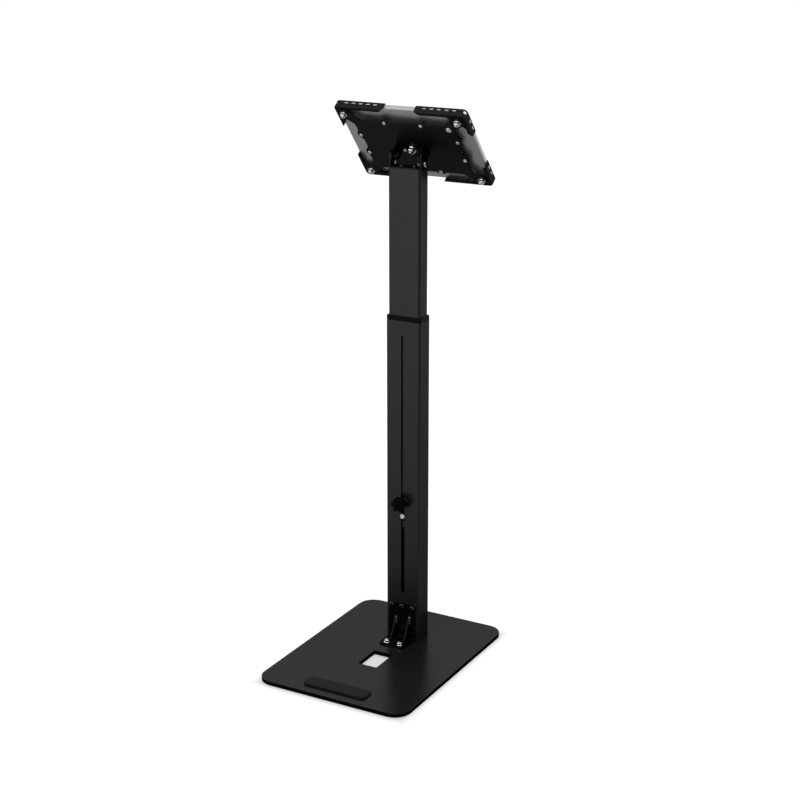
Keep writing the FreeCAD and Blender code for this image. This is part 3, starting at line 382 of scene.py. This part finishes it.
def layWeld(name, x, low):
    bpy.ops.object.select_all(action="DESELECT")
    bpy.ops.mesh.primitive_circle_add(vertices=weldBead["sides"], radius=weldBead["radius"] * weldBead["start"],
                                      fill_type="NGON", location=(0, 0, 0))
    piece = bpy.context.object
    piece.name = name
    middle = (x, weldBead["sheetY"], low)

    def addRing(step, factor):
        bpy.ops.mesh.extrude_region_move(
            TRANSFORM_OT_translate={"value": (0, 0, weldBead["pitch"] * step)})
        bpy.ops.transform.resize(value=(factor, factor, 1), center_override=middle)

    bpy.ops.object.mode_set(mode="EDIT")
    bpy.ops.mesh.select_all(action="SELECT")
    bpy.ops.transform.translate(value=middle)
    for ripple in range(weldBead["ripples"]):
        addRing(weldBead["rise"], weldBead["swell"] if ripple else 1 / weldBead["start"])
        addRing(weldBead["fall"], 1 / weldBead["swell"])
    addRing(weldBead["capRise"], weldBead["capSize"])
    bpy.ops.object.mode_set(mode="OBJECT")
    smoothBelow(weldBead["smooth"])
    # the bead's far lighter coat is a painted highlight
    giveFinish(piece, "painted_steel", "weld")
    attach(piece, "stand")


print("stand: welds")
for name, place in weldBead["foot"].items():
    layWeld(name, *place)


# Small parts of the head: round-ended plugs, modelled lying on z = 0 with their outer face up

plug = {"round": 0.49, "segments": 8, "inset": 0.12, "smooth": 35}


def modelPlug(name, look):
    bpy.ops.object.select_all(action="DESELECT")
    bpy.ops.mesh.primitive_plane_add(size=1, location=(0, 0, 0))
    piece = bpy.context.object
    piece.name = name
    bpy.ops.object.mode_set(mode="EDIT")
    bpy.ops.mesh.select_all(action="SELECT")
    bpy.ops.transform.resize(value=(look["length"], look["width"], 1), center_override=(0, 0, 0))
    bpy.ops.transform.translate(value=(0, 0, -look["deep"]))
    bpy.ops.mesh.bevel(offset=look["width"] * plug["round"], segments=plug["segments"], affect="VERTICES")
    bpy.ops.mesh.extrude_region_move(TRANSFORM_OT_translate={"value": (0, 0, look["deep"] - look["crown"])})
    bpy.ops.mesh.inset(thickness=look["width"] * plug["inset"])
    bpy.ops.transform.translate(value=(0, 0, look["crown"]))
    bpy.ops.mesh.select_all(action="SELECT")
    bpy.ops.mesh.normals_make_consistent(inside=False)
    bpy.ops.object.mode_set(mode="OBJECT")
    return piece


def seatPiece(piece, place, outward, along, slotName, body):
    up = Vector(outward).normalized()
    run = Vector(along)
    turn = Matrix((run, up.cross(run), up)).transposed().to_4x4()
    piece.matrix_world = leaning @ Matrix.Translation(place) @ turn
    selectOnly(piece)
    bpy.ops.object.transform_apply(location=True, rotation=True, scale=True)
    smoothBelow(plug["smooth"])
    giveFinish(piece, slotName, piece.name)
    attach(piece, body)


corners = {"upper_right": (1, 1), "upper_left": (-1, 1), "lower_right": (1, -1), "lower_left": (-1, -1)}
# Pale plugs in the bracket slots and corner holes, partly foam and partly a painted highlight that makes them
# show bright.
slotFoamAndHighlight = {"length": 0.0084, "width": 0.0031, "deep": 0.00125, "crown": 0.00015, "recess": 0.00035,
            "side": 0.127, "depth": 0.010, "heights": (0.0643, 0.0501)}
cornerFoamAndHighlight = {"length": 0.0064, "width": 0.0064, "deep": 0.0028, "crown": 0.0004, "recess": 0.0007,
              "corner": (0.127, 0.0897), "diagonal": 0.00331, "depth": 0.0093}

print("stand: foam in the brackets")
slotPlug = modelPlug("slotPlug", slotFoamAndHighlight)
cornerPlug = modelPlug("cornerPlug", cornerFoamAndHighlight)
for name, (side, level) in corners.items():
    body = bodyOf["bracket_" + name]
    for number, height in enumerate(slotFoamAndHighlight["heights"]):
        piece = copyPiece(slotPlug, "slot_foam_%s_%d" % (name, number + 1))
        place = (side * (slotFoamAndHighlight["side"] - slotFoamAndHighlight["recess"]), -slotFoamAndHighlight["depth"], level * height)
        seatPiece(piece, place, (side, 0, 0), (0, 0, 1), "pad_foam", body)
    piece = copyPiece(cornerPlug, "corner_foam_highlight_" + name)
    inward = (cornerFoamAndHighlight["diagonal"] + cornerFoamAndHighlight["recess"]) / math.sqrt(2)
    place = (side * (cornerFoamAndHighlight["corner"][0] - inward), -cornerFoamAndHighlight["depth"],
             level * (cornerFoamAndHighlight["corner"][1] - inward))
    seatPiece(piece, place, (side, 0, level), (0, 1, 0), "pad_foam", body)
for spare in (slotPlug, cornerPlug):
    bpy.data.objects.remove(spare)


port = {"length": 0.0090, "width": 0.0027, "deep": 0.0004, "crown": 0.00004, "proud": 0.00008,
        "side": 0.1253, "depth": 0.01175}
lens = {"length": 0.0030, "width": 0.0030, "deep": 0.0003, "crown": 0.00006, "proud": 0.00010,
        "side": 0.1145, "depth": 0.0141}
speaker = {"length": 0.0013, "width": 0.0013, "deep": 0.0004, "crown": 0.00004, "proud": 0.00006,
           "holes": 6, "pitch": 0.0030, "first": 0.0190}

print("stand: tablet details")
tabletBody = bodyOf["tablet_shell"]
piece = modelPlug("charge_port", port)
place = (port["side"] + port["proud"], -port["depth"], 0)
seatPiece(piece, place, (1, 0, 0), (0, 0, 1), "guide_plastic", tabletBody)
piece = modelPlug("front_lens", lens)
place = (-lens["side"], -lens["depth"] - lens["proud"], 0)
seatPiece(piece, place, (0, -1, 0), (1, 0, 0), "tablet_screen", tabletBody)
for name, level in (("upper", 1), ("lower", -1)):
    piece = modelPlug("speaker_row_" + name, speaker)
    row = piece.modifiers.new("row", "ARRAY")
    row.count = speaker["holes"]
    row.use_relative_offset = False
    row.use_constant_offset = True
    row.constant_offset_displace = (level * speaker["pitch"], 0, 0)
    selectOnly(piece)
    bpy.ops.object.modifier_apply(modifier=row.name)
    place = (port["side"] + speaker["proud"], -port["depth"], level * speaker["first"])
    seatPiece(piece, place, (1, 0, 0), (0, 0, 1), "guide_plastic", tabletBody)


# Camera

view = {"place": (-1.40237, 2.45171, 1.38395), "azimuth": 209.16, "elevation": 17.46, "lens": 76.17,
        "sensor": 36}


def faceAlong(thing, direction):
    thing.rotation_euler = direction.to_track_quat("-Z", "Y").to_euler()


def addCamera():
    data = bpy.data.cameras.new("photoView")
    data.lens = view["lens"]
    data.sensor_width = view["sensor"]
    camera = bpy.data.objects.new("photoView", data)
    bpy.context.scene.collection.objects.link(camera)
    turn = math.radians(view["azimuth"])
    rise = math.radians(view["elevation"])
    camera.location = view["place"]
    faceAlong(camera, -Vector((math.sin(turn) * math.cos(rise), -math.cos(turn) * math.cos(rise),
                               math.sin(rise))))
    bpy.context.scene.camera = camera


# Lamps

studio = {
    "top": {"place": (0.6, -1.0, 2.5), "aim": (0, 0, 0.1), "size": 1.6, "power": 34},
    "rear": {"place": (0.2, 1.7, 2.15), "aim": (0, -0.09, 0.75), "size": 1.0, "power": 30},
    "side": {"place": (-1.9, -0.2, 2.1), "aim": (0, -0.09, 0.75), "size": 1.0, "power": 26},
}


def addLight(name, spot):
    data = bpy.data.lights.new(name, "AREA")
    data.shape = "DISK"
    data.size = spot["size"]
    data.energy = spot["power"]
    lamp = bpy.data.objects.new(name, data)
    lamp.visible_glossy = False  # metal mirrors the surround and floor alone
    bpy.context.scene.collection.objects.link(lamp)
    lamp.location = spot["place"]
    faceAlong(lamp, Vector(spot["aim"]) - Vector(spot["place"]))


# Surround and floor. Each pair of spans maps a height or a distance onto a brightness.

surround = {"light": 0.12, "backdrop": 1.0, "overhead": ((0.42, 0.87), (1.0, 0.60)),
            "horizon": ((0.04, 0.20), (0.0, 1.0))}
flags = {"litLine": (0.485, 0.874, 0), "edges": ((0.60, 0.90), (0.0, 1.0))}
floorLook = {"size": 14, "shadowed": 0.30, "bounce": 0.30, "plate": (0.150, 0.200, 0),
             "contact": ((-0.012, 0.016), (0.56, 1.0)), "seen": ((0.6, 1.6), (0.80, 1.0)),
             "mirrored": ((0.2, 2.8), (0.03, 0.65))}


def mixValue(tree, factor, first, second):
    mix = tree.nodes.new("ShaderNodeMix")
    tree.links.new(factor, mix.inputs["Factor"])
    tree.links.new(first, mix.inputs["A"])
    mix.inputs["B"].default_value = second
    return mix.outputs["Result"]


def mixShaders(tree, factor, first, second):
    mix = tree.nodes.new("ShaderNodeMixShader")
    tree.links.new(factor, mix.inputs["Fac"])
    tree.links.new(first, mix.inputs[1])
    tree.links.new(second, mix.inputs[2])
    return mix.outputs[0]


def seenDirectly(tree):
    path = tree.nodes.new("ShaderNodeLightPath").outputs
    pair = mathStep(tree, "MAXIMUM", path["Is Camera Ray"], path["Is Glossy Ray"])
    return mathStep(tree, "MAXIMUM", pair, path["Is Transmission Ray"])


def glowing(tree, strength):
    glow = tree.nodes.new("ShaderNodeEmission")
    tree.links.new(strength, glow.inputs["Strength"])
    return glow.outputs[0]


def greySheet(tree, grey):
    sheet = tree.nodes.new("ShaderNodeBsdfDiffuse")
    sheet.inputs["Color"].default_value = (grey, grey, grey, 1)
    return sheet.outputs[0]


def flaggedSector(tree, point):  # dark flags stand each side of the lit line
    way = vectorStep(tree, "NORMALIZE", point).outputs["Vector"]
    along = vectorStep(tree, "DOT_PRODUCT", way, flags["litLine"]).outputs["Value"]
    return spreadOver(tree, mathStep(tree, "ABSOLUTE", along), *flags["edges"])


def lightSurround():
    world = bpy.data.worlds.new("studio")
    bpy.context.scene.world = world
    world.use_nodes = True
    tree = world.node_tree
    tree.nodes.clear()
    output = tree.nodes.new("ShaderNodeOutputWorld")
    soft = tree.nodes.new("ShaderNodeBackground")
    white = tree.nodes.new("ShaderNodeBackground")
    for light in (soft, white):
        light.inputs["Color"].default_value = (1, 1, 1, 1)
    soft.inputs["Strength"].default_value = surround["light"]
    direction = tree.nodes.new("ShaderNodeTexCoord").outputs["Generated"]
    height = splitAxes(tree, direction)["Z"]
    level = vectorStep(tree, "MULTIPLY", direction, (1, 1, 0)).outputs["Vector"]
    horizon = mixValue(tree, spreadOver(tree, height, *surround["horizon"]), flaggedSector(tree, level), 1.0)
    above = mathStep(tree, "MULTIPLY", spreadOver(tree, height, *surround["overhead"]), horizon)
    path = tree.nodes.new("ShaderNodeLightPath").outputs
    strength = mixValue(tree, path["Is Camera Ray"], above, surround["backdrop"])
    tree.links.new(strength, white.inputs["Strength"])
    mix = mixShaders(tree, seenDirectly(tree), soft.outputs[0], white.outputs[0])
    tree.links.new(mix, output.inputs["Surface"])


# Painted contact shadow: the floor's glow is dimmed along the base plate's edges and under the plate.
def contactShade(tree, point):  # the floor greys where it meets the base plate
    reach = vectorStep(tree, "ABSOLUTE", point).outputs["Vector"]
    past = splitAxes(tree, vectorStep(tree, "SUBTRACT", reach, floorLook["plate"]).outputs["Vector"])
    edge = mathStep(tree, "MAXIMUM", past["X"], past["Y"])
    return spreadOver(tree, edge, *floorLook["contact"])


def layFloor():
    bpy.ops.object.select_all(action="DESELECT")
    bpy.ops.mesh.primitive_plane_add(size=floorLook["size"], location=(0, 0, 0))
    floor = bpy.context.object
    floor.name = "studioFloor"
    material, tree, surface = newMaterial("paleFloor")
    point = objectPoint(tree)
    away = vectorStep(tree, "LENGTH", point).outputs["Value"]
    mirrored = mathStep(tree, "MULTIPLY", spreadOver(tree, away, *floorLook["mirrored"]),
                        flaggedSector(tree, point))
    seen = mathStep(tree, "MULTIPLY", spreadOver(tree, away, *floorLook["seen"]), contactShade(tree, point))
    path = tree.nodes.new("ShaderNodeLightPath").outputs
    glow = mixShaders(tree, path["Is Camera Ray"], glowing(tree, mirrored), glowing(tree, seen))
    shown = tree.nodes.new("ShaderNodeAddShader")
    tree.links.new(glow, shown.inputs[0])
    tree.links.new(greySheet(tree, floorLook["shadowed"]), shown.inputs[1])
    mix = mixShaders(tree, seenDirectly(tree), greySheet(tree, floorLook["bounce"]), shown.outputs[0])
    tree.links.new(mix, surface)
    floor.data.materials.append(material)


print("stand: studio and camera")
addCamera()
for name, spot in studio.items():
    addLight(name, spot)
lightSurround()
layFloor()
bpy.context.scene.view_settings.view_transform = "Standard"

print("stand: finished")
